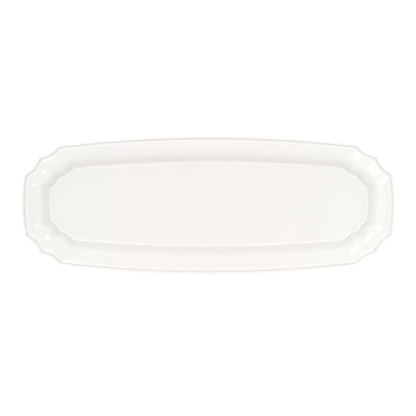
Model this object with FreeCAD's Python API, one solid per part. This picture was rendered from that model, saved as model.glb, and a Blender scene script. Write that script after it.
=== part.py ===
"""Oblong china serving platter: a shallow tray with a beaded rim and double-scalloped corners.

The dish is fired as one rigid ware, but it is built up from four separate layers of material:

  porcelain_body  the moulded shell: flat well, steep cavetto, gently sloping border and round beaded rim
  foot_ring       the ring of clay that is luted under the well and carries the dish
  glaze_coat      the glass skin over the face, the bead and the back, down to the outside of the foot
  base_glaze      the second patch of glass skin, on the base inside the foot

The foot's bearing edge is wiped bare before the glaze firing, which is what keeps the two skins apart.

Frame: millimetres, +Z up, +X along the dish, origin on the table under the middle of the dish.

Every horizontal section of the dish is the same kind of ring: two bowed long sides, two bowed ends, and at
each corner two scallops that curve inwards, with rounded points between them.  A ring is set by how far it
lies inside the outermost edge (its inset), so a surface is drawn by sliding the ring along a curve of
(inset, height).
"""

import FreeCAD
import Part

import math
import os

Vector = FreeCAD.Vector

# --- Driving dimensions, in millimetres ------------------------------------------------------------------

LENGTH = 457.0  # over the bead, along X
WIDTH = 171.0  # over the bead, along Y
HEIGHT = 30.0  # table to the top of the bead
GLAZE = 0.3  # thickness of the glass skin

WELL_LENGTH = 395.0  # of the flat well, crease to crease
WELL_WIDTH = 107.0
FLOOR = 5.0  # thickness of the clay under the well
FOOT_HEIGHT = 4.0  # bearing edge to the underside of the clay
WIPED_HEIGHT = 1.2  # the foot is bare clay below this

# How far each long side and each end bows out beyond the corner points that it runs between.
RIM_SIDE_BOW, RIM_END_BOW = 11.0, 3.5
WELL_SIDE_BOW, WELL_END_BOW = 8.3, 1.7
# How far each corner scallop cuts in behind the straight line between its two points.
RIM_SCALLOP, WELL_SCALLOP = 3.0, 2.2
# How far to each side of a corner point the ring is rounded off.
RIM_ROUND, WELL_ROUND = 2.9, 2.6
# Halfway down the wall the scallops cut in deeper by the first and the points are rounder by the second.
WALL_SCALLOP, WALL_ROUND = 2.4, 5.4

# The corner points of one quarter: where the long side ends, the middle point, and where the end begins.
RIM_POINTS = (
    (182.5, WIDTH / 2 - RIM_SIDE_BOW),
    (206.4, 60.8),
    (LENGTH / 2 - RIM_END_BOW, 38.9),
)
WELL_POINTS = (
    (168.0, WELL_WIDTH / 2 - WELL_SIDE_BOW),
    (185.9, 33.7),
    (WELL_LENGTH / 2 - WELL_END_BOW, 22.3),
)
WELL_INSET = 32.0  # inset of the crease round the well
GROOVE_INSET = 4.8  # inset of the groove behind the bead

# --- Heights and insets that several profiles share ------------------------------------------------------

WELL_Z = FOOT_HEIGHT + FLOOR + GLAZE  # glazed surface of the well
BASE_Z = FOOT_HEIGHT - GLAZE  # glazed surface of the base
EDGE_Z = HEIGHT - 2.6  # the outermost line of the bead
FLAT_INSET = WELL_INSET + 5.8  # where the well becomes flat
BACK_INSET = 36.0  # where the back becomes flat
FOOT_OUTSIDE, FOOT_INSIDE = 38.6, 45.4  # the foot ring where it joins the body

# --- The glazed surface as curves of (inset, height), each one a smooth spline through its control points --

RIDGE = (  # a low rounded line that frames the well, from the flat out to the crease
    (FLAT_INSET, WELL_Z),
    (FLAT_INSET - 1.9, WELL_Z),
    (FLAT_INSET - 3.1, WELL_Z + 1.15),
    (FLAT_INSET - 4.9, WELL_Z + 1.05),
    (WELL_INSET, WELL_Z - 0.25),
)
WALL = (  # up the steep cavetto, over its shoulder and out along the border to the groove
    RIDGE[-1],
    (30.9, WELL_Z + 1.4),
    (28.6, HEIGHT - 15.8),
    (26.2, HEIGHT - 12.2),
    (23.6, HEIGHT - 9.3),
    (20.0, HEIGHT - 7.6),
    (14.5, HEIGHT - 5.8),
    (7.8, HEIGHT - 3.3),
    (GROOVE_INSET, HEIGHT - 2.3),
)
BEAD = (  # out of the groove, up the bead and round to its outermost line
    WALL[-1],
    (3.7, HEIGHT - 2.0),
    (3.5, HEIGHT - 0.6),
    (2.4, HEIGHT),
    (0.75, HEIGHT),
    (0.0, HEIGHT - 1.1),
    (0.0, EDGE_Z),
)
BACK = (  # under the bead and down the back of the wall to the flat base
    BEAD[-1],
    (0.0, EDGE_Z - 1.6),
    (1.7, HEIGHT - 5.3),
    (5.0, HEIGHT - 6.7),
    (12.0, HEIGHT - 9.4),
    (18.0, HEIGHT - 11.8),
    (22.0, HEIGHT - 14.8),
    (25.6, HEIGHT - 19.8),
    (28.6, BASE_Z + 2.5),
    (32.4, BASE_Z),
    (BACK_INSET, BASE_Z),
)
SKIN = (RIDGE, WALL, BEAD, BACK)

# The bare foot ring: its two flanks, and the rounded bearing edge between them.
FOOT_FLANK = ((FOOT_OUTSIDE, FOOT_HEIGHT), (39.9, WIPED_HEIGHT))
FOOT_ROUND = (FOOT_FLANK[-1], (40.4, 0.0), (41.1, 0.0))
FOOT_RISE = ((42.9, 0.0), (43.6, 0.0), (44.1, WIPED_HEIGHT))
FOOT_INNER_FLANK = (FOOT_RISE[-1], (FOOT_INSIDE, FOOT_HEIGHT))

# The glaze where it turns from the back on to the foot, outside and inside the ring.
OUTER_FILLET = (BACK[-1], (38.5, BASE_Z), (39.6, WIPED_HEIGHT))
INNER_FILLET = ((44.4, WIPED_HEIGHT), (45.6, BASE_Z), (48.2, BASE_Z))


# --- Rings -----------------------------------------------------------------------------------------------


def between(rim_value, well_value, inset):
    """A size at this inset, on the straight line from its value at the rim to its value at the well."""
    return rim_value + (well_value - rim_value) * inset / WELL_INSET


def on_wall(inset):
    """1 halfway from the groove to the well, falling to 0 at both."""
    down = (inset - GROOVE_INSET) / (WELL_INSET - GROOVE_INSET)
    return max(0.0, 4 * down * (1 - down))


def corner_points(inset):
    """The three corner points of the quarter with x and y positive."""
    return [
        (between(rim[0], well[0], inset), between(rim[1], well[1], inset))
        for rim, well in zip(RIM_POINTS, WELL_POINTS)
    ]


def bowed(start, end, bow):
    """Three poles of a parabola from start to end that bows to the right of its direction by bow."""
    run, rise = end[0] - start[0], end[1] - start[1]
    span = math.hypot(run, rise)
    middle = (
        (start[0] + end[0]) / 2 + 2 * bow * rise / span,
        (start[1] + end[1]) / 2 - 2 * bow * run / span,
    )
    return [start, middle, end]


def shortened(poles, cut):
    """Three poles of the same parabola with about this length cut off at both of its ends."""
    (x0, y0), _, (x2, y2) = poles
    first = cut / math.hypot(x2 - x0, y2 - y0)
    last = 1 - first

    def pole(a, b):
        weights = ((1 - a) * (1 - b), a + b - 2 * a * b, a * b)
        return tuple(sum(w * p[axis] for w, p in zip(weights, poles)) for axis in (0, 1))

    return [pole(first, first), pole(first, last), pole(last, last)]


def crossing(a, b, c, d):
    """The point where the line through a and b meets the line through c and d."""
    (ax, ay), (bx, by), (cx, cy), (dx, dy) = a, b, c, d
    turn = (bx - ax) * (dy - cy) - (by - ay) * (dx - cx)
    share = ((cx - ax) * (dy - cy) - (cy - ay) * (dx - cx)) / turn
    return (ax + share * (bx - ax), ay + share * (by - ay))


def ring_poles(inset):
    """Three poles for each edge of the ring, anticlockwise from the +X end.

    The edges are by turns an arc and the rounded corner that follows it.
    """
    side, middle, end = corner_points(inset)
    side_bow = between(RIM_SIDE_BOW, WELL_SIDE_BOW, inset)
    end_bow = between(RIM_END_BOW, WELL_END_BOW, inset)
    scallop = between(RIM_SCALLOP, WELL_SCALLOP, inset) + WALL_SCALLOP * on_wall(inset)
    cut = between(RIM_ROUND, WELL_ROUND, inset) + WALL_ROUND * on_wall(inset)
    quarter = [(1, 1), (-1, 1), (-1, -1), (1, -1)]
    points = []
    for number, (x_sign, y_sign) in enumerate(quarter):
        three = [(x_sign * x, y_sign * y) for x, y in (end, middle, side)]
        points += three if number % 2 == 0 else three[::-1]
    bows = [-scallop, -scallop, side_bow, -scallop, -scallop, end_bow] * 2
    arcs = [
        shortened(bowed(start, stop, bow), cut)
        for start, stop, bow in zip(points, points[1:] + points[:1], bows)
    ]
    poles = []
    for arc, following in zip(arcs, arcs[1:] + arcs[:1]):
        corner = crossing(arc[1], arc[2], following[0], following[1])
        poles += [arc, [arc[2], corner, following[0]]]
    return poles


def ring_wire(inset, height):
    """The ring at one inset and height, as a closed wire."""
    edges = []
    for poles in ring_poles(inset):
        curve = Part.BezierCurve()
        curve.setPoles([Vector(x, y, height) for x, y in poles])
        edges.append(curve.toShape())
    return Part.Wire(edges)


# --- Surfaces --------------------------------------------------------------------------------------------

PARABOLA, CUBIC = 2, 3  # degrees of the surfaces, along the ring and across it


def clamped_knots(count, degree):
    """Knots and multiplicities of an evenly knotted spline that starts and ends on its end poles."""
    spans = count - degree
    knots = [float(k) for k in range(spans + 1)]
    mults = [degree + 1] + [1] * (spans - 1) + [degree + 1]
    return knots, mults


def band(profile):
    """The faces swept by the ring's edges as it follows a profile of (inset, height) control points."""
    degree = min(CUBIC, len(profile) - 1)
    knots, mults = clamped_knots(len(profile), degree)
    rings = [ring_poles(inset) for inset, _ in profile]
    faces = []
    for edge in range(len(rings[0])):
        grid = [
            [Vector(x, y, height) for x, y in ring[edge]]
            for ring, (_, height) in zip(rings, profile)
        ]
        surface = Part.BSplineSurface()
        surface.buildFromPolesMultsKnots(
            grid, mults, [PARABOLA + 1] * 2, knots, [0.0, 1.0], False, False, degree, PARABOLA
        )
        faces.append(surface.toShape())
    return faces


def disc(inset, height):
    """A flat face that fills the ring."""
    return Part.Face(ring_wire(inset, height))


def annulus(outer_inset, inner_inset, height):
    """A flat face between two rings."""
    outer, inner = ring_wire(outer_inset, height), ring_wire(inner_inset, height)
    return Part.makeFace([outer, inner], "Part::FaceMakerBullseye")


def solid_from(faces):
    """Sews faces that share their edges into one closed solid."""
    shell = Part.makeShell(faces)
    shell.sewShape()
    solid = Part.makeSolid(shell)
    if solid.Volume < 0:
        solid.reverse()
    return solid


def sunk_skin():
    """The four glazed profiles moved one glaze thickness into the ware: the surface of the clay."""
    path = list(RIDGE)
    for profile in SKIN[1:]:
        path += profile[1:]
    normals = []
    for (s0, z0), (s1, z1) in zip(path, path[1:]):
        step = math.hypot(s1 - s0, z1 - z0)
        normals.append((-(z1 - z0) / step, (s1 - s0) / step))
    befores, afters = normals[:1] + normals, normals + normals[-1:]
    moved = []
    for (s, z), (a, b), (c, d) in zip(path, befores, afters):
        mitre = GLAZE / (1 + a * c + b * d)
        moved.append((s + (a + c) * mitre, z + (b + d) * mitre))
    profiles, start = [], 0
    for profile in SKIN:
        stop = start + len(profile)
        profiles.append(moved[start:stop])
        start = stop - 1
    return profiles


# --- The four pieces -------------------------------------------------------------------------------------


def porcelain_body():
    """The clay shell: flat well, ridge, wall, bead and back, closed by its flat base."""
    faces = [disc(FLAT_INSET, WELL_Z - GLAZE), disc(BACK_INSET, FOOT_HEIGHT)]
    for profile in sunk_skin():
        faces += band(profile)
    return solid_from(faces)


def foot_ring():
    """The ring of clay under the well, flat where it meets the body and where it stands."""
    faces = [
        annulus(FOOT_OUTSIDE, FOOT_INSIDE, FOOT_HEIGHT),
        annulus(FOOT_ROUND[-1][0], FOOT_RISE[0][0], 0.0),
    ]
    for profile in (FOOT_FLANK, FOOT_ROUND, FOOT_RISE, FOOT_INNER_FLANK):
        faces += band(profile)
    return solid_from(faces)


def glaze_coat():
    """The glass skin over face, bead and back, turned down on to the outside of the foot."""
    faces = [
        disc(FLAT_INSET, WELL_Z),
        disc(FLAT_INSET, WELL_Z - GLAZE),
        annulus(BACK_INSET, FOOT_OUTSIDE, FOOT_HEIGHT),
        annulus(OUTER_FILLET[-1][0], FOOT_FLANK[-1][0], WIPED_HEIGHT),
    ]
    for profile in (*SKIN, *sunk_skin(), OUTER_FILLET, FOOT_FLANK):
        faces += band(profile)
    return solid_from(faces)


def base_glaze():
    """The glass skin on the base, turned down on to the inside of the foot."""
    faces = [
        disc(FOOT_INSIDE, FOOT_HEIGHT),
        disc(INNER_FILLET[-1][0], BASE_Z),
        annulus(FOOT_INNER_FLANK[0][0], INNER_FILLET[0][0], WIPED_HEIGHT),
    ]
    for profile in (FOOT_INNER_FLANK, INNER_FILLET):
        faces += band(profile)
    return solid_from(faces)


PIECES = {
    "porcelain_body": porcelain_body,
    "foot_ring": foot_ring,
    "glaze_coat": glaze_coat,
    "base_glaze": base_glaze,
}


def main():
    """Writes one STEP file for each piece and prints what was made."""
    os.makedirs("parts", exist_ok=True)
    for name, make in PIECES.items():
        shape = make()
        shape.exportStep(f"parts/{name}.step")
        box = shape.optimalBoundingBox(False)
        state = f"valid {shape.isValid()}, closed {shape.isClosed()}, {shape.Volume / 1000:.2f} cm3"
        size = f"{box.XLength:.2f} x {box.YLength:.2f} x {box.ZLength:.2f} mm"
        print(f"{name}: {state}, {size}, z {box.ZMin:.2f} to {box.ZMax:.2f}")


main()
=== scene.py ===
"""A white china serving platter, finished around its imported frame.

The platter is one fired ware that is built up in layers, and each layer is a piece here:

    porcelain_body  the moulded clay shell, which the glaze covers all over
    foot_ring       the ring of bare clay that the platter stands on
    glaze_coat      the glossy skin over the well, wall, border, bead and back
    base_glaze      the glossy skin on the base, inside the foot

Every layer is drawn the same way. A scalloped ring of edges is extruded along a section of the ware, one
ring after another, for a quarter of the platter, and the quarter is mirrored twice.
"""

from __future__ import annotations

import logging
import math
from dataclasses import dataclass, field, replace
from enum import Enum
from typing import Any, Mapping, Optional, Sequence, Union

import bmesh
import bpy
from mathutils import Matrix, Vector

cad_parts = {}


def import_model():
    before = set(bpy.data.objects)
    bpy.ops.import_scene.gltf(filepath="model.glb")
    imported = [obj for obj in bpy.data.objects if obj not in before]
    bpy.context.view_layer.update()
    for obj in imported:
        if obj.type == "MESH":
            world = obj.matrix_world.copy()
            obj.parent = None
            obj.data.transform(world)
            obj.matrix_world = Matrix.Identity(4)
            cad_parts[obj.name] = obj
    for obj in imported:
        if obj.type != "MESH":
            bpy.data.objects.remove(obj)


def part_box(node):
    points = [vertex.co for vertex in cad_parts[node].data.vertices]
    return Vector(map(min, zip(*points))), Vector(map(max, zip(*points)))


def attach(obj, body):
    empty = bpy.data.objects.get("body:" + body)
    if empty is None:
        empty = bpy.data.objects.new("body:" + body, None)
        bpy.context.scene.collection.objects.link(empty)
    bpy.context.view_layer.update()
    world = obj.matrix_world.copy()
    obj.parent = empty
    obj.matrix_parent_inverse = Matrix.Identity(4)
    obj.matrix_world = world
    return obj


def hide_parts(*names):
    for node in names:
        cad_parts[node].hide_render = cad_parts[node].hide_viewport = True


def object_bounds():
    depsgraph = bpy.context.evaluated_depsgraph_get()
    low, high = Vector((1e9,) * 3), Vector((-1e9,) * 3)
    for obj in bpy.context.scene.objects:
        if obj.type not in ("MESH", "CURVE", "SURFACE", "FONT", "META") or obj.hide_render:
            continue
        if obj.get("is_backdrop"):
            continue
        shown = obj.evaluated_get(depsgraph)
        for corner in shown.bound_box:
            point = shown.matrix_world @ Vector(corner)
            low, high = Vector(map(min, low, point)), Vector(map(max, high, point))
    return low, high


MM = 0.001
GLAZE_THICKNESS = 0.3 * MM
FLOOR_THICKNESS = 5.3 * MM  # from the underside of the clay up to the glaze of the well
MERGE_DISTANCE = 0.001 * MM
RGB = tuple[float, float, float]

log = logging.getLogger("platter")


class Slot(Enum):
    """The record's material slots."""

    GLAZE = "glaze"
    PORCELAIN = "porcelain"
    BARE_FOOT = "bare_foot"


# --- Shader building blocks ------------------------------------------------------------------------------


class Signal:
    """A shader socket that takes part in Python arithmetic by adding Math nodes to its graph."""

    def __init__(self, graph: "Graph", socket: bpy.types.NodeSocket) -> None:
        """Wraps one output socket of a graph."""
        self.graph = graph
        self.socket = socket

    def _math(self, operation: str, left: "Level", right: "Level" = 0.0) -> "Signal":
        """Adds one Math node.

        Args:
            operation: the Math node's operation.
            left: its first value.
            right: its second value.

        Returns:
            The node's result.
        """
        settings = {"operation": operation}
        return self.graph.add("ShaderNodeMath", settings, {0: left, 1: right})

    def __add__(self, other: "Level") -> "Signal":
        """self + other."""
        return self._math("ADD", self, other)

    def __sub__(self, other: "Level") -> "Signal":
        """self - other."""
        return self._math("SUBTRACT", self, other)

    def __rsub__(self, other: "Level") -> "Signal":
        """other - self."""
        return self._math("SUBTRACT", other, self)

    def __mul__(self, other: "Level") -> "Signal":
        """self * other."""
        return self._math("MULTIPLY", self, other)

    def __gt__(self, other: "Level") -> "Signal":
        """1 where self is above other, and 0 elsewhere."""
        return self._math("GREATER_THAN", self, other)

    def __lt__(self, other: "Level") -> "Signal":
        """1 where self is below other, and 0 elsewhere."""
        return self._math("LESS_THAN", self, other)

    def at_least(self, floor: "Level") -> "Signal":
        """The larger of self and floor."""
        return self._math("MAXIMUM", self, floor)


Level = Union[Signal, float]
Value = Union[Signal, float, Sequence[float]]


class Graph:
    """The node tree of one material, ending in a Principled shader."""

    def __init__(self, name: str) -> None:
        """Makes an empty material with its output and its Principled shader."""
        self.material = bpy.data.materials.new(name)
        self.material.use_nodes = True
        self.tree = self.material.node_tree
        self.tree.nodes.clear()
        output = self.tree.nodes.new("ShaderNodeOutputMaterial")
        self.shader = self.tree.nodes.new("ShaderNodeBsdfPrincipled")
        self.tree.links.new(self.shader.outputs["BSDF"], output.inputs["Surface"])

    def add(
        self,
        kind: str,
        settings: Optional[Mapping[str, Any]] = None,
        inputs: Optional[Mapping[Union[int, str], Value]] = None,
        output: Union[int, str] = 0,
    ) -> Signal:
        """Adds any node.

        Args:
            kind: the node's type.
            settings: the node's own properties, set before its sockets.
            inputs: a value or a signal for each socket, by name or place.
            output: the socket to return, by name or place.

        Returns:
            The chosen output.
        """
        node = self.tree.nodes.new(kind)
        for name, setting in (settings or {}).items():
            setattr(node, name, setting)
        for place, value in (inputs or {}).items():
            self.feed(node.inputs[place], value)
        return Signal(self, node.outputs[output])

    def feed(self, socket: bpy.types.NodeSocket, value: Value) -> None:
        """Links a signal to a socket, or sets the socket to a value."""
        if isinstance(value, Signal):
            self.tree.links.new(value.socket, socket)
        elif socket.type == "RGBA":
            socket.default_value = (*value, 1.0)
        else:
            socket.default_value = value

    def set(self, **values: Value) -> None:
        """Feeds the Principled shader's sockets, named with underscores for spaces."""
        for name, value in values.items():
            self.feed(self.shader.inputs[name.replace("_", " ")], value)

    def place(self) -> Signal:
        """The piece's own coordinates, in metres."""
        return self.add("ShaderNodeTexCoord", output="Object")

    def attribute(self, name: str) -> Signal:
        """A number that the mesh holds at each vertex."""
        return self.add("ShaderNodeAttribute", {"attribute_name": name}, output="Fac")

    def turned(self, place: Signal, angle: float, stretch: RGB) -> Signal:
        """Coordinates turned about Z by an angle in radians, and stretched."""
        inputs = {"Vector": place, "Rotation": (0.0, 0.0, angle), "Scale": stretch}
        return self.add("ShaderNodeMapping", {"vector_type": "POINT"}, inputs)

    def noise(self, place: Signal, size: float, detail: float = 2.0) -> Signal:
        """Soft noise from 0 to 1 with features of about this size, in metres."""
        inputs = {"Vector": place, "Scale": 1.0 / size, "Detail": detail}
        return self.add("ShaderNodeTexNoise", {"noise_dimensions": "3D"}, inputs, "Fac")

    def ramp(self, value: Signal, low: float, high: float) -> Signal:
        """0 below low, 1 above high, and smooth between them."""
        settings = {"interpolation_type": "SMOOTHSTEP"}
        inputs = {"Value": value, "From Min": low, "From Max": high}
        return self.add("ShaderNodeMapRange", settings, inputs)

    def mix(self, share: Level, first: Union[Signal, RGB], second: Union[Signal, RGB]) -> Signal:
        """A colour that goes from first to second as share goes from 0 to 1."""
        settings = {"data_type": "RGBA", "clamp_factor": True}
        return self.add("ShaderNodeMix", settings, {0: share, 6: first, 7: second}, 2)

    def dots(self, place: Signal, spacing: float, radius: float, kept: float) -> Signal:
        """Round spots scattered over the surface.

        Args:
            place: the coordinates.
            spacing: the typical distance between the cells that may hold a spot, in metres.
            radius: a spot's radius, in metres.
            kept: the share of the cells that hold one.

        Returns:
            1 in a spot and 0 outside.
        """
        settings = {"feature": "F1", "voronoi_dimensions": "3D"}
        inputs = {"Vector": place, "Scale": 1.0 / spacing}
        distance = self.add("ShaderNodeTexVoronoi", settings, inputs, "Distance")
        colour = Signal(self, distance.socket.node.outputs["Color"])
        chance = self.add("ShaderNodeSeparateColor", {}, {"Color": colour}, "Red")
        near = 1.0 - self.ramp(distance, 0.5 * radius / spacing, radius / spacing)
        return near * (chance < kept)


# --- Finishes --------------------------------------------------------------------------------------------


@dataclass(frozen=True)
class GlazeFinish:
    """Clear gloss glaze over white clay: warm white, darker where it pools in the hollows, which also stands
    in as painted shade in the groove and the crease, lighter where it runs thin, which also gives a painted
    highlight along the ridge, and nearly smooth.
    """

    blush: RGB = (0.887, 0.858, 0.847)  # the middle of the ware
    ivory: RGB = (0.876, 0.868, 0.845)  # towards its ends
    # darker glaze where it pools; in the groove and the crease this is also painted shade
    pooled_glaze_and_shade: RGB = (0.835, 0.80, 0.765)
    # lighter glaze where it runs thin on the bead; on the crest of the ridge it is also a painted highlight
    thin_glaze_and_highlight: RGB = (0.945, 0.93, 0.91)
    speck: RGB = (0.42, 0.36, 0.30)
    roughness: float = 0.07
    ior: float = 1.5
    blush_reach: tuple[float, float] = (60 * MM, 190 * MM)  # from the middle, where it fades and ends
    drift_size: float = 60 * MM
    drift_swing: float = 150 * MM
    peel_size: float = 4.5 * MM
    peel_depth: float = 0.006 * MM
    wave_size: float = 75 * MM
    wave_depth: float = 0.16 * MM
    speck_spacing: float = 14 * MM
    speck_radius: float = 0.28 * MM
    speck_share: float = 0.12
    speck_strength: float = 0.5
    speck_roughness: float = 0.1
    pit_spacing: float = 9 * MM
    pit_radius: float = 0.35 * MM
    pit_share: float = 0.2
    pit_depth: float = 0.02 * MM
    scratch_angles: tuple[float, ...] = (0.35, 1.2, 2.4)
    scratch_size: float = 0.9 * MM
    scratch_stretch: float = 0.035
    scratch_gloss: float = 0.05
    scratch_edge: tuple[float, float] = (0.66, 0.72)
    scratch_heights: tuple[float, float] = (8.0 * MM, 9.6 * MM)  # cutlery only reaches the well
    worn_size: float = 30 * MM
    worn_edge: tuple[float, float] = (0.45, 0.65)
    uneven_size: float = 22 * MM
    uneven_gloss: float = 0.03

    def material(self, name: str) -> bpy.types.Material:
        """Builds the glaze.

        Args:
            name: the material's name.

        Returns:
            The material.
        """
        graph = Graph(name)
        place = graph.place()
        # the section's glaze number: painted shade with pooled glaze in the hollows, a painted highlight with
        # thin glaze on the ridge
        flow_and_painted_light = graph.attribute("pool")
        speck = graph.dots(place, self.speck_spacing, self.speck_radius, self.speck_share)
        graph.set(
            Base_Color=self._colour(graph, place, flow_and_painted_light, speck),
            Roughness=self._gloss(graph, place, speck),
            Normal=self._relief(graph, place),
            IOR=self.ior,
        )
        return graph.material

    def _colour(self, graph: Graph, place: Signal, flow_and_painted_light: Signal, speck: Signal) -> Signal:
        """The white of the ware, rosier in the middle, with pooled glaze that also serves as painted shade in
        the groove and crease, thin glaze that also serves as a painted highlight on the ridge, and specks.
        """
        along = graph.add("ShaderNodeSeparateXYZ", {}, {"Vector": place}, "X")
        drift = (graph.noise(place, self.drift_size) - 0.5) * self.drift_swing
        reach = along.at_least(0.0 - along) + drift
        body = graph.mix(graph.ramp(reach, *self.blush_reach), self.blush, self.ivory)
        # darkens where the number is above 0: pooled glaze, and painted shade in the groove and the crease
        pooled_glaze_and_shade = graph.mix(flow_and_painted_light.at_least(0.0), body, self.pooled_glaze_and_shade)
        # lightens where the number is below 0: thin glaze, and a painted highlight on the crest of the ridge
        thin_glaze_and_highlight = graph.mix((0.0 - flow_and_painted_light).at_least(0.0), pooled_glaze_and_shade, self.thin_glaze_and_highlight)
        return graph.mix(speck * self.speck_strength, thin_glaze_and_highlight, self.speck)

    def _gloss(self, graph: Graph, place: Signal, speck: Signal) -> Signal:
        """Nearly even gloss, with hairline marks of cutlery in the well."""
        marks: Level = 0.0
        height = graph.add("ShaderNodeSeparateXYZ", {}, {"Vector": place}, "Z")
        for angle in self.scratch_angles:
            along = graph.turned(place, angle, (self.scratch_stretch, 1.0, 1.0))
            hairs = graph.ramp(graph.noise(along, self.scratch_size, 1.0), *self.scratch_edge)
            marks = hairs + marks
        lowest, highest = self.scratch_heights
        in_well = (height < highest) * (height > lowest)
        worn = graph.ramp(graph.noise(place, self.worn_size), *self.worn_edge)
        uneven = graph.noise(place, self.uneven_size) * self.uneven_gloss
        scratched = marks * in_well * worn * self.scratch_gloss
        return uneven + self.roughness + scratched + speck * self.speck_roughness

    def _relief(self, graph: Graph, place: Signal) -> Signal:
        """The faint peel, slow waves and pinholes of a fired glaze, as heights in metres."""
        peel = graph.noise(place, self.peel_size, 1.0) * self.peel_depth
        waves = graph.noise(place, self.wave_size, 0.0) * self.wave_depth
        pits = graph.dots(place, self.pit_spacing, self.pit_radius, self.pit_share) * self.pit_depth
        inputs = {"Height": peel + waves - pits, "Distance": 1.0, "Strength": 1.0}
        return graph.add("ShaderNodeBump", {}, inputs, "Normal")


@dataclass(frozen=True)
class ClayFinish:
    """Fired clay without glaze: matt, finely grained, and darker where hands and shelves have rubbed it."""

    light: RGB
    dark: RGB
    stain: float
    roughness: float = 0.62
    grain_size: float = 0.5 * MM
    grain_depth: float = 0.012 * MM
    grain_edge: tuple[float, float] = (0.55, 0.75)
    grain_stain: float = 0.15
    grain_roughness: float = 0.2
    blotch_size: float = 12 * MM
    blotch_edge: tuple[float, float] = (0.4, 0.7)

    def material(self, name: str) -> bpy.types.Material:
        """Builds the clay.

        Args:
            name: the material's name.

        Returns:
            The material.
        """
        graph = Graph(name)
        place = graph.place()
        grain = graph.noise(place, self.grain_size, 3.0)
        blotch = graph.ramp(graph.noise(place, self.blotch_size), *self.blotch_edge)
        rubbed = graph.mix(blotch * self.stain, self.light, self.dark)
        coarse = graph.ramp(grain, *self.grain_edge) * self.grain_stain
        inputs = {"Height": grain * self.grain_depth, "Distance": 1.0, "Strength": 1.0}
        graph.set(
            Base_Color=graph.mix(coarse, rubbed, self.dark),
            Roughness=grain * self.grain_roughness + self.roughness,
            Normal=graph.add("ShaderNodeBump", {}, inputs, "Normal"),
        )
        return graph.material


# --- The plan: a scalloped ring --------------------------------------------------------------------------


@dataclass(frozen=True)
class Parabola:
    """A shallow curve set by three poles."""

    start: Vector
    pull: Vector
    stop: Vector

    @classmethod
    def bowed(cls, start: Vector, stop: Vector, bow: float) -> "Parabola":
        """A curve from start to stop that bows to the right of its direction by bow."""
        chord = stop - start
        out = Vector((chord.y, -chord.x)).normalized()
        return cls(start, (start + stop) / 2 + out * 2 * bow, stop)

    def pole(self, a: float, b: float) -> Vector:
        """The curve's blossom, which gives the poles of any stretch of it."""
        weights = ((1 - a) * (1 - b), a + b - 2 * a * b, a * b)
        poles = (self.start, self.pull, self.stop)
        return sum((p * w for p, w in zip(poles, weights)), Vector((0.0, 0.0)))

    def at(self, share: float) -> Vector:
        """The point at a share of the way along."""
        return self.pole(share, share)

    def shortened(self, cut: float) -> "Parabola":
        """The same curve with about this length cut off at both of its ends."""
        first = cut / (self.stop - self.start).length
        last = 1 - first
        return Parabola(self.at(first), self.pole(first, last), self.at(last))

    def rounded_into(self, following: "Parabola") -> "Parabola":
        """The rounded corner between this curve's end and the start of the following one."""
        ahead, back = self.stop - self.pull, following.pull - following.start
        gap = following.start - self.pull
        share = gap.cross(back) / ahead.cross(back)
        return Parabola(self.stop, self.pull + ahead * share, following.start)


@dataclass(frozen=True)
class Ring:
    """One scalloped ring, given by a quarter of it: the corner points and how its arcs bow."""

    side: Vector  # where the long side ends
    middle: Vector  # the point between the two scallops
    end: Vector  # where the short end begins
    side_bow: float
    end_bow: float
    scallop: float
    rounding: float  # how far to each side of a point the ring is rounded off

    def towards(self, other: "Ring", share: float) -> "Ring":
        """The ring a share of the way from this one to another."""
        names = self.__dataclass_fields__
        return Ring(*(getattr(self, n) + (getattr(other, n) - getattr(self, n)) * share for n in names))

    def arcs(self) -> list[Parabola]:
        """The short end, the two scallops and the long side that meet this quarter, anticlockwise."""
        flip_y = Vector((self.end.x, -self.end.y))
        flip_x = Vector((-self.side.x, self.side.y))
        points = [flip_y, self.end, self.middle, self.side, flip_x]
        bows = [self.end_bow, -self.scallop, -self.scallop, self.side_bow]
        whole = [Parabola.bowed(a, b, bow) for a, b, bow in zip(points, points[1:], bows)]
        return [arc.shortened(self.rounding) for arc in whole]


@dataclass(frozen=True)
class Spacing:
    """How many steps a quarter ring takes on each of its stretches, closest together at the points."""

    end: int = 5
    corner: int = 6
    scallop: int = 8
    side: int = 12

    def quarter(self, ring: Ring) -> list[Vector]:
        """The vertices of a quarter ring, from the middle of the short end to the middle of the long side."""
        end, first, second, side = ring.arcs()
        quarter_turn = math.pi / 2
        on_end = [0.5 + 0.5 * math.sin(quarter_turn * k / self.end) for k in range(self.end + 1)]
        on_scallop = [0.5 - 0.5 * math.cos(math.pi * k / self.scallop) for k in range(self.scallop + 1)]
        on_side = [0.5 - 0.5 * math.cos(quarter_turn * k / self.side) for k in range(self.side + 1)]
        in_corner = [k / self.corner for k in range(1, self.corner)]
        stretches = [
            (end, on_end),
            (end.rounded_into(first), in_corner),
            (first, on_scallop),
            (first.rounded_into(second), in_corner),
            (second, on_scallop),
            (second.rounded_into(side), in_corner),
            (side, on_side),
        ]
        return [curve.at(share) for curve, shares in stretches for share in shares]

    def middle_point(self) -> int:
        """The number of the vertex at the point between the two scallops."""
        return self.end + self.corner + self.scallop + self.corner // 2


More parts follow.
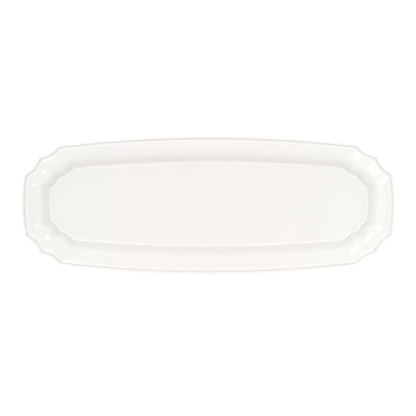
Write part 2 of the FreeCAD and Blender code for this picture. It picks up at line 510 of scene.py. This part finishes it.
@dataclass(frozen=True)
class Plan:
    """The platter seen from above: the ring of its outermost edge, and the ring of the crease at its well."""

    length: float
    width: float
    well_length: float = 395 * MM
    well_width: float = 107 * MM
    well_inset: float = 32 * MM
    groove_inset: float = 4.8 * MM
    wall_rounding: float = 5.4 * MM  # how much rounder the points are halfway down the wall
    wall_scallop: float = 2.4 * MM  # how much deeper the scallops are halfway down the wall
    spacing: Spacing = field(default_factory=Spacing)

    def rim(self) -> Ring:
        """The ring at the bead."""
        side_bow, end_bow = 11.0 * MM, 3.5 * MM
        return Ring(
            side=Vector((182.5 * MM, self.width / 2 - side_bow)),
            middle=Vector((206.4 * MM, 60.8 * MM)),
            end=Vector((self.length / 2 - end_bow, 38.9 * MM)),
            side_bow=side_bow,
            end_bow=end_bow,
            scallop=3.0 * MM,
            rounding=2.9 * MM,
        )

    def well(self) -> Ring:
        """The ring at the well."""
        side_bow, end_bow = 8.3 * MM, 1.7 * MM
        return Ring(
            side=Vector((168.0 * MM, self.well_width / 2 - side_bow)),
            middle=Vector((185.9 * MM, 33.7 * MM)),
            end=Vector((self.well_length / 2 - end_bow, 22.3 * MM)),
            side_bow=side_bow,
            end_bow=end_bow,
            scallop=2.2 * MM,
            rounding=2.6 * MM,
        )

    def quarter(self, inset: float) -> list[Vector]:
        """The vertices of a quarter of the ring at this inset."""
        ring = self.rim().towards(self.well(), inset / self.well_inset)
        down = (inset - self.groove_inset) / (self.well_inset - self.groove_inset)
        halfway = max(0.0, 4 * down * (1 - down))
        rounding = ring.rounding + self.wall_rounding * halfway
        scallop = ring.scallop + self.wall_scallop * halfway
        return self.spacing.quarter(replace(ring, rounding=rounding, scallop=scallop))


# --- The section: where each ring lies -------------------------------------------------------------------


@dataclass(frozen=True)
class Stop:
    """One ring of the section, with how the glaze lies on it: above 0 it pools and darkens, and this is also
    painted shade in the groove and the crease; below 0 it runs thin and lightens, and this is also a painted
    highlight on the ridge.
    """

    inset: float
    height: float
    pool: float = 0.0


@dataclass(frozen=True)
class Section:
    """The section through the platter's edge, as control rings for a subdivided surface."""

    top: float  # top of the bead
    well: float  # glazed surface of the well
    base: float  # glazed surface of the base
    wiped: float  # the foot is bare below this
    stand: float  # what the foot stands on

    def ridge(self) -> list[Stop]:
        """The low rounded line round the well, from the flat out to the crease."""
        # third number: the crest is lightened as a painted highlight, and the crease is darkened as pooled
        # glaze and painted shade
        rises = [
            (42.5, 0.0, 0.0),
            (39.5, 0.0, 0.0),
            (37.4, 0.0, 0.1),
            (36.0, 0.1, 0.1),
            (34.9, 0.8, -0.4),
            (33.8, 1.25, -0.9),
            (32.8, 0.85, 0.0),
            (32.2, 0.1, 0.3),
            (31.6, 0.05, 0.3),
        ]
        return [Stop(inset * MM, self.well + rise * MM, pool) for inset, rise, pool in rises]

    def wall(self) -> list[Stop]:
        """The steep wall, its shoulder, and the border that slopes up to the groove."""
        # third number: above 0 darkens as pooled glaze and painted shade, below 0 lightens where the glaze
        # runs thin over the lip by the groove
        drops = [
            (30.9, 19.6, 0.1),
            (29.7, 17.6, 0.0),
            (27.9, 14.8, 0.0),
            (26.1, 12.1, 0.0),
            (23.9, 9.7, 0.0),
            (21.2, 7.95, -0.1),
            (17.6, 6.4, 0.0),
            (13.2, 4.85, 0.0),
            (9.0, 3.65, 0.0),
            (6.9, 3.05, -0.5),
            (5.9, 2.75, -0.6),
            (5.25, 2.95, 0.2),
        ]
        return [Stop(inset * MM, self.top - drop * MM, pool) for inset, drop, pool in drops]

    def bead(self) -> list[Stop]:
        """Through the groove, over the bead and round to its underside."""
        # third number: the groove is darkened as pooled glaze and painted shade, and the bead is lightened
        # where its glaze runs thin
        drops = [
            (4.75, 3.3, 0.7),
            (4.3, 3.0, 0.7),
            (3.95, 1.9, 0.3),
            (3.65, 0.7, -0.3),
            (2.9, 0.11, -0.6),
            (1.85, -0.04, -0.8),
            (0.8, 0.18, -0.6),
            (0.1, 0.85, -0.3),
            (-0.08, 2.1, 0.0),
            (0.1, 3.4, 0.0),
            (0.9, 4.6, 0.0),
        ]
        return [Stop(inset * MM, self.top - drop * MM, pool) for inset, drop, pool in drops]

    def back(self) -> list[Stop]:
        """The back, from under the bead down to the flat base beside the foot."""
        drops = [
            (2.6, 5.65),
            (5.4, 6.85),
            (9.2, 8.3),
            (13.2, 9.85),
            (17.2, 11.5),
            (20.6, 13.6),
            (23.4, 16.7),
            (26.0, 20.3),
        ]
        rises = [(28.4, 2.8), (30.6, 0.8), (33.2, 0.0), (35.6, 0.0)]
        upper = [Stop(inset * MM, self.top - drop * MM) for inset, drop in drops]
        return upper + [Stop(inset * MM, self.base + rise * MM) for inset, rise in rises]

    def turn_to_foot(self) -> list[Stop]:
        """Where the glaze of the back turns down on to the foot and ends."""
        z = self.base
        return [
            Stop(37.4 * MM, z, 0.4),
            Stop(38.6 * MM, z - 0.4 * MM, 0.7),
            Stop(39.3 * MM, z - 1.3 * MM, 0.4),
            Stop(39.6 * MM, self.wiped, 0.0),
        ]

    def foot(self) -> list[Stop]:
        """Once round the foot ring, from its outer root over the bearing edge to its inner root."""
        root, z = self.base + GLAZE_THICKNESS, self.stand
        down = [(38.6, root), (38.7, root - 0.2 * MM), (39.6, z + 1.8 * MM), (40.1, z + 0.6 * MM)]
        flat = [(40.6, z + 0.05 * MM), (41.4, z), (42.6, z), (43.4, z + 0.05 * MM)]
        up = [(43.9, z + 0.6 * MM), (44.4, z + 1.8 * MM), (45.3, root - 0.2 * MM), (45.4, root)]
        return [Stop(inset * MM, height) for inset, height in down + flat + up]

    def base_disc(self) -> list[Stop]:
        """From the flat of the base out to where its glaze ends on the inside of the foot."""
        z = self.base
        return [
            Stop(52.0 * MM, z),
            Stop(48.4 * MM, z),
            Stop(46.6 * MM, z, 0.4),
            Stop(45.4 * MM, z - 0.4 * MM, 0.7),
            Stop(44.8 * MM, z - 1.3 * MM, 0.4),
            Stop(44.5 * MM, self.wiped),
        ]


def sunk(stops: Sequence[Stop], depth: float) -> list[Stop]:
    """A section moved into the ware.

    Args:
        stops: the section, with the ware on the right of its direction.
        depth: how far it moves.

    Returns:
        The moved section.
    """
    points = [Vector((stop.inset, stop.height)) for stop in stops]
    steps = [(b - a).normalized() for a, b in zip(points, points[1:])]
    normals = [Vector((-step.y, step.x)) for step in steps]
    pairs = zip(normals[:1] + normals, normals + normals[-1:])
    moves = [(a + b) * depth / (1 + a.dot(b)) for a, b in pairs]
    return [replace(s, inset=s.inset + m.x, height=s.height + m.y) for s, m in zip(stops, moves)]


# --- Layers ----------------------------------------------------------------------------------------------


@dataclass
class Layer:
    """What every layer of the ware shares: it is swept from the plan along a section and mirrored."""

    plan: Plan
    section: Section
    name: str
    slot: Slot
    finish: Union[GlazeFinish, ClayFinish]

    def swept(self, stops: Sequence[Stop]) -> bmesh.types.BMesh:
        """Extrudes a quarter ring along a section and mirrors it into the whole band.

        Args:
            stops: the section, ring by ring.

        Returns:
            The band, open at its first and last ring.
        """
        bm = bmesh.new()
        pool = bm.verts.layers.float.new("pool")
        station = bm.verts.layers.int.new("station")
        turn = bm.verts.layers.int.new("turn")
        first = [bm.verts.new((p.x, p.y, stops[0].height)) for p in self.plan.quarter(stops[0].inset)]
        for number, vert in enumerate(first):
            vert[station], vert[pool] = number, stops[0].pool
        edges = [bm.edges.new(pair) for pair in zip(first, first[1:])]
        for number, stop in enumerate(stops[1:], 1):
            points = self.plan.quarter(stop.inset)
            made = bmesh.ops.extrude_edge_only(bm, edges=edges)["geom"]
            for vert in (v for v in made if isinstance(v, bmesh.types.BMVert)):
                vert.co = (*points[vert[station]], stop.height)
                vert[pool], vert[turn] = stop.pool, number
            edges = [
                e
                for e in made
                if isinstance(e, bmesh.types.BMEdge) and all(v[turn] == number for v in e.verts)
            ]
        for axis in ("X", "Y"):
            whole = bm.verts[:] + bm.edges[:] + bm.faces[:]
            bmesh.ops.mirror(bm, geom=whole, matrix=Matrix(), merge_dist=MERGE_DISTANCE, axis=axis)
        bmesh.ops.recalc_face_normals(bm, faces=bm.faces[:])
        return bm

    def fill(self, bm: bmesh.types.BMesh, turn_number: int) -> None:
        """Closes the open ring of one turn with a grid of faces.

        Args:
            bm: the swept band.
            turn_number: which ring is open.
        """
        station, turn = bm.verts.layers.int["station"], bm.verts.layers.int["turn"]
        corner = self.plan.spacing.middle_point()
        loop = [e for e in bm.edges if e.is_boundary and all(v[turn] == turn_number for v in e.verts)]
        long_sides = [e for e in loop if all(v[station] >= corner for v in e.verts)]
        bmesh.ops.grid_fill(bm, edges=long_sides, mat_nr=0, use_smooth=True, use_interp_simple=True)

    def finished(self, bm: bmesh.types.BMesh, levels: int) -> bpy.types.Object:
        """Turns a bmesh into the layer's object, smooth and subdivided.

        Args:
            bm: the finished cage, which is freed.
            levels: how often it is subdivided.

        Returns:
            The object, at the origin.
        """
        bmesh.ops.recalc_face_normals(bm, faces=bm.faces[:])
        for face in bm.faces:
            face.smooth = True
        mesh = bpy.data.meshes.new(self.name)
        bm.to_mesh(mesh)
        bm.free()
        mesh.materials.append(self.finish.material(f"{self.name}_finish"))
        piece = bpy.data.objects.new(self.name, mesh)
        bpy.context.scene.collection.objects.link(piece)
        smooth = piece.modifiers.new("Rounded", "SUBSURF")
        smooth.levels = smooth.render_levels = levels
        return piece

    def skinned(self, piece: bpy.types.Object) -> None:
        """Gives a layer of glaze its thickness, inwards from its face."""
        skin = piece.modifiers.new("Thickness", "SOLIDIFY")
        skin.thickness = GLAZE_THICKNESS
        skin.offset = -1.0
        skin.use_even_offset = True

    def seated(self, piece: bpy.types.Object, node: str) -> bpy.types.Object:
        """Fixes a finished layer to the frame in place of its node.

        Args:
            piece: the layer's object.
            node: the node that it stands for.

        Returns:
            The same object.
        """
        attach(piece, "root")
        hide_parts(node)
        log.info("%s: %d faces in its cage", piece.name, len(piece.data.polygons))
        return piece


@dataclass
class GlazeCoat(Layer):
    """The glossy skin over the face, the bead and the back."""

    def build(self) -> bpy.types.Object:
        """Builds and seats the skin."""
        s = self.section
        bm = self.swept(s.ridge() + s.wall() + s.bead() + s.back() + s.turn_to_foot())
        self.fill(bm, 0)
        piece = self.finished(bm, levels=1)
        self.skinned(piece)
        return self.seated(piece, "glaze_coat")


@dataclass
class PorcelainBody(Layer):
    """The clay shell under the glaze, closed by the flat of its base."""

    def build(self) -> bpy.types.Object:
        """Builds and seats the shell."""
        s = self.section
        stops = sunk(s.ridge() + s.wall() + s.bead() + s.back(), GLAZE_THICKNESS)
        bm = self.swept(stops)
        self.fill(bm, 0)
        self.fill(bm, len(stops) - 1)
        return self.seated(self.finished(bm, levels=1), "porcelain_body")


@dataclass
class FootRing(Layer):
    """The ring of bare clay that the platter stands on."""

    def build(self) -> bpy.types.Object:
        """Builds and seats the ring."""
        stops = self.section.foot()
        bm = self.swept(stops)
        bmesh.ops.bridge_loops(bm, edges=[e for e in bm.edges if e.is_boundary])
        return self.seated(self.finished(bm, levels=1), "foot_ring")


@dataclass
class BaseGlaze(Layer):
    """The glossy skin on the base, inside the foot."""

    def build(self) -> bpy.types.Object:
        """Builds and seats the skin."""
        bm = self.swept(self.section.base_disc())
        self.fill(bm, 0)
        piece = self.finished(bm, levels=1)
        self.skinned(piece)
        return self.seated(piece, "base_glaze")


# --- The studio ------------------------------------------------------------------------------------------


@dataclass(frozen=True)
class Softbox:
    """A rectangular lamp with a diffuser, aimed at the platter."""

    name: str
    place: RGB
    size: tuple[float, float]
    power: float

    def hang(self) -> None:
        """Adds the lamp to the scene."""
        lamp = bpy.data.lights.new(self.name, "AREA")
        lamp.shape = "RECTANGLE"
        lamp.size, lamp.size_y = self.size
        lamp.energy = self.power
        holder = bpy.data.objects.new(self.name, lamp)
        holder.location = self.place
        holder.rotation_euler = (-Vector(self.place)).to_track_quat("-Z", "Y").to_euler()
        bpy.context.scene.collection.objects.link(holder)


@dataclass(frozen=True)
class Studio:
    """A pale floor, a bright room, soft lamps and the camera."""

    floor_size: float = 12.0
    floor_white: RGB = (0.93, 0.93, 0.93)
    floor_roughness: float = 0.9
    floor_glow: float = 0.35
    room_light: float = 0.49
    camera_place: RGB = (0.0504, 0.1187, 1.53)
    camera_aim: RGB = (0.0007, -0.003, 0.03)
    camera_up: RGB = (0.0037, 1.0, 0.0)
    lens: float = 107.2
    sensor_width: float = 36.0
    lamps: tuple[Softbox, ...] = (
        Softbox("left_softbox", (-1.5, 0.0, 0.9), (1.6, 2.4), 9.3),
        Softbox("right_softbox", (1.5, 0.0, 0.9), (1.6, 2.4), 1.1),
        Softbox("back_softbox", (0.0, 1.5, 0.9), (2.4, 1.6), 8.4),
        Softbox("front_softbox", (0.0, -1.5, 0.9), (2.4, 1.6), 3.7),
        Softbox("high_back_softbox", (0.0, 0.9, 1.7), (1.6, 0.7), 0.6),
        Softbox("high_front_softbox", (0.0, -0.9, 1.7), (1.6, 0.7), 2.4),
        Softbox("near_right_softbox", (0.9, 0.0, 0.8), (1.0, 1.0), 2.6),
        Softbox("front_right_lamp", (0.41, -0.40, 1.49), (0.22, 0.22), 0.9),
        Softbox("back_right_lamp", (0.46, 0.33, 1.50), (0.22, 0.22), 0.9),
        Softbox("front_left_lamp", (-0.33, -0.50, 1.48), (0.38, 0.3), 1.2),
        Softbox("back_left_lamp", (-0.42, 0.46, 1.47), (0.35, 0.3), 1.1),
    )

    def build(self) -> None:
        """Builds the floor, the room's light, the lamps and the camera."""
        self._floor()
        self._room()
        for lamp in self.lamps:
            lamp.hang()
        self._camera()
        bpy.context.scene.view_settings.view_transform = "Standard"

    def _floor(self) -> None:
        """A flat pale floor that glows a little, so that it stays white under the rim."""
        bm = bmesh.new()
        bmesh.ops.create_grid(bm, x_segments=1, y_segments=1, size=self.floor_size / 2)
        mesh = bpy.data.meshes.new("floor")
        bm.to_mesh(mesh)
        bm.free()
        graph = Graph("floor_finish")
        graph.set(
            Base_Color=self.floor_white,
            Roughness=self.floor_roughness,
            Specular_IOR_Level=0.0,
            Emission_Color=(1.0, 1.0, 1.0),
            Emission_Strength=self.floor_glow,
        )
        mesh.materials.append(graph.material)
        floor = bpy.data.objects.new("floor", mesh)
        bpy.context.scene.collection.objects.link(floor)
        floor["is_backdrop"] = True

    def _room(self) -> None:
        """Even white light from all round."""
        world = bpy.data.worlds.new("bright_room")
        world.use_nodes = True
        background = world.node_tree.nodes["Background"]
        background.inputs["Color"].default_value = (1.0, 1.0, 1.0, 1.0)
        background.inputs["Strength"].default_value = self.room_light
        bpy.context.scene.world = world

    def _camera(self) -> None:
        """The camera, high over the platter, with the platter's length across the picture."""
        camera = bpy.data.cameras.new("camera")
        camera.lens = self.lens
        camera.sensor_width = self.sensor_width
        back = (Vector(self.camera_place) - Vector(self.camera_aim)).normalized()
        right = Vector(self.camera_up).cross(back).normalized()
        axes = Matrix((right, back.cross(right), back)).transposed().to_4x4()
        holder = bpy.data.objects.new("camera", camera)
        holder.matrix_world = Matrix.Translation(self.camera_place) @ axes
        bpy.context.scene.collection.objects.link(holder)
        bpy.context.scene.camera = holder


def main() -> None:
    """Builds the platter's layers round the frame, and the studio."""
    logging.basicConfig(level=logging.INFO, format="%(name)s: %(message)s")
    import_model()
    cad_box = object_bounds()
    low, high = cad_box
    base_low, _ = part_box("base_glaze")
    body_low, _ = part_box("porcelain_body")
    plan = Plan(length=high.x - low.x, width=high.y - low.y)
    section = Section(
        top=high.z,
        well=body_low.z + FLOOR_THICKNESS,
        base=body_low.z - GLAZE_THICKNESS,
        wiped=base_low.z,
        stand=low.z,
    )
    glaze = GlazeFinish()
    clay = ClayFinish(light=(0.82, 0.80, 0.76), dark=(0.62, 0.58, 0.52), stain=0.15)
    bare = ClayFinish(light=(0.78, 0.745, 0.69), dark=(0.45, 0.40, 0.34), stain=0.45)
    PorcelainBody(plan, section, "clay_shell", Slot.PORCELAIN, clay).build()
    FootRing(plan, section, "bare_foot_ring", Slot.BARE_FOOT, bare).build()
    GlazeCoat(plan, section, "face_and_back_glaze", Slot.GLAZE, glaze).build()
    BaseGlaze(plan, section, "base_glaze_skin", Slot.GLAZE, glaze).build()
    Studio().build()


if __name__ == "__main__":
    main()
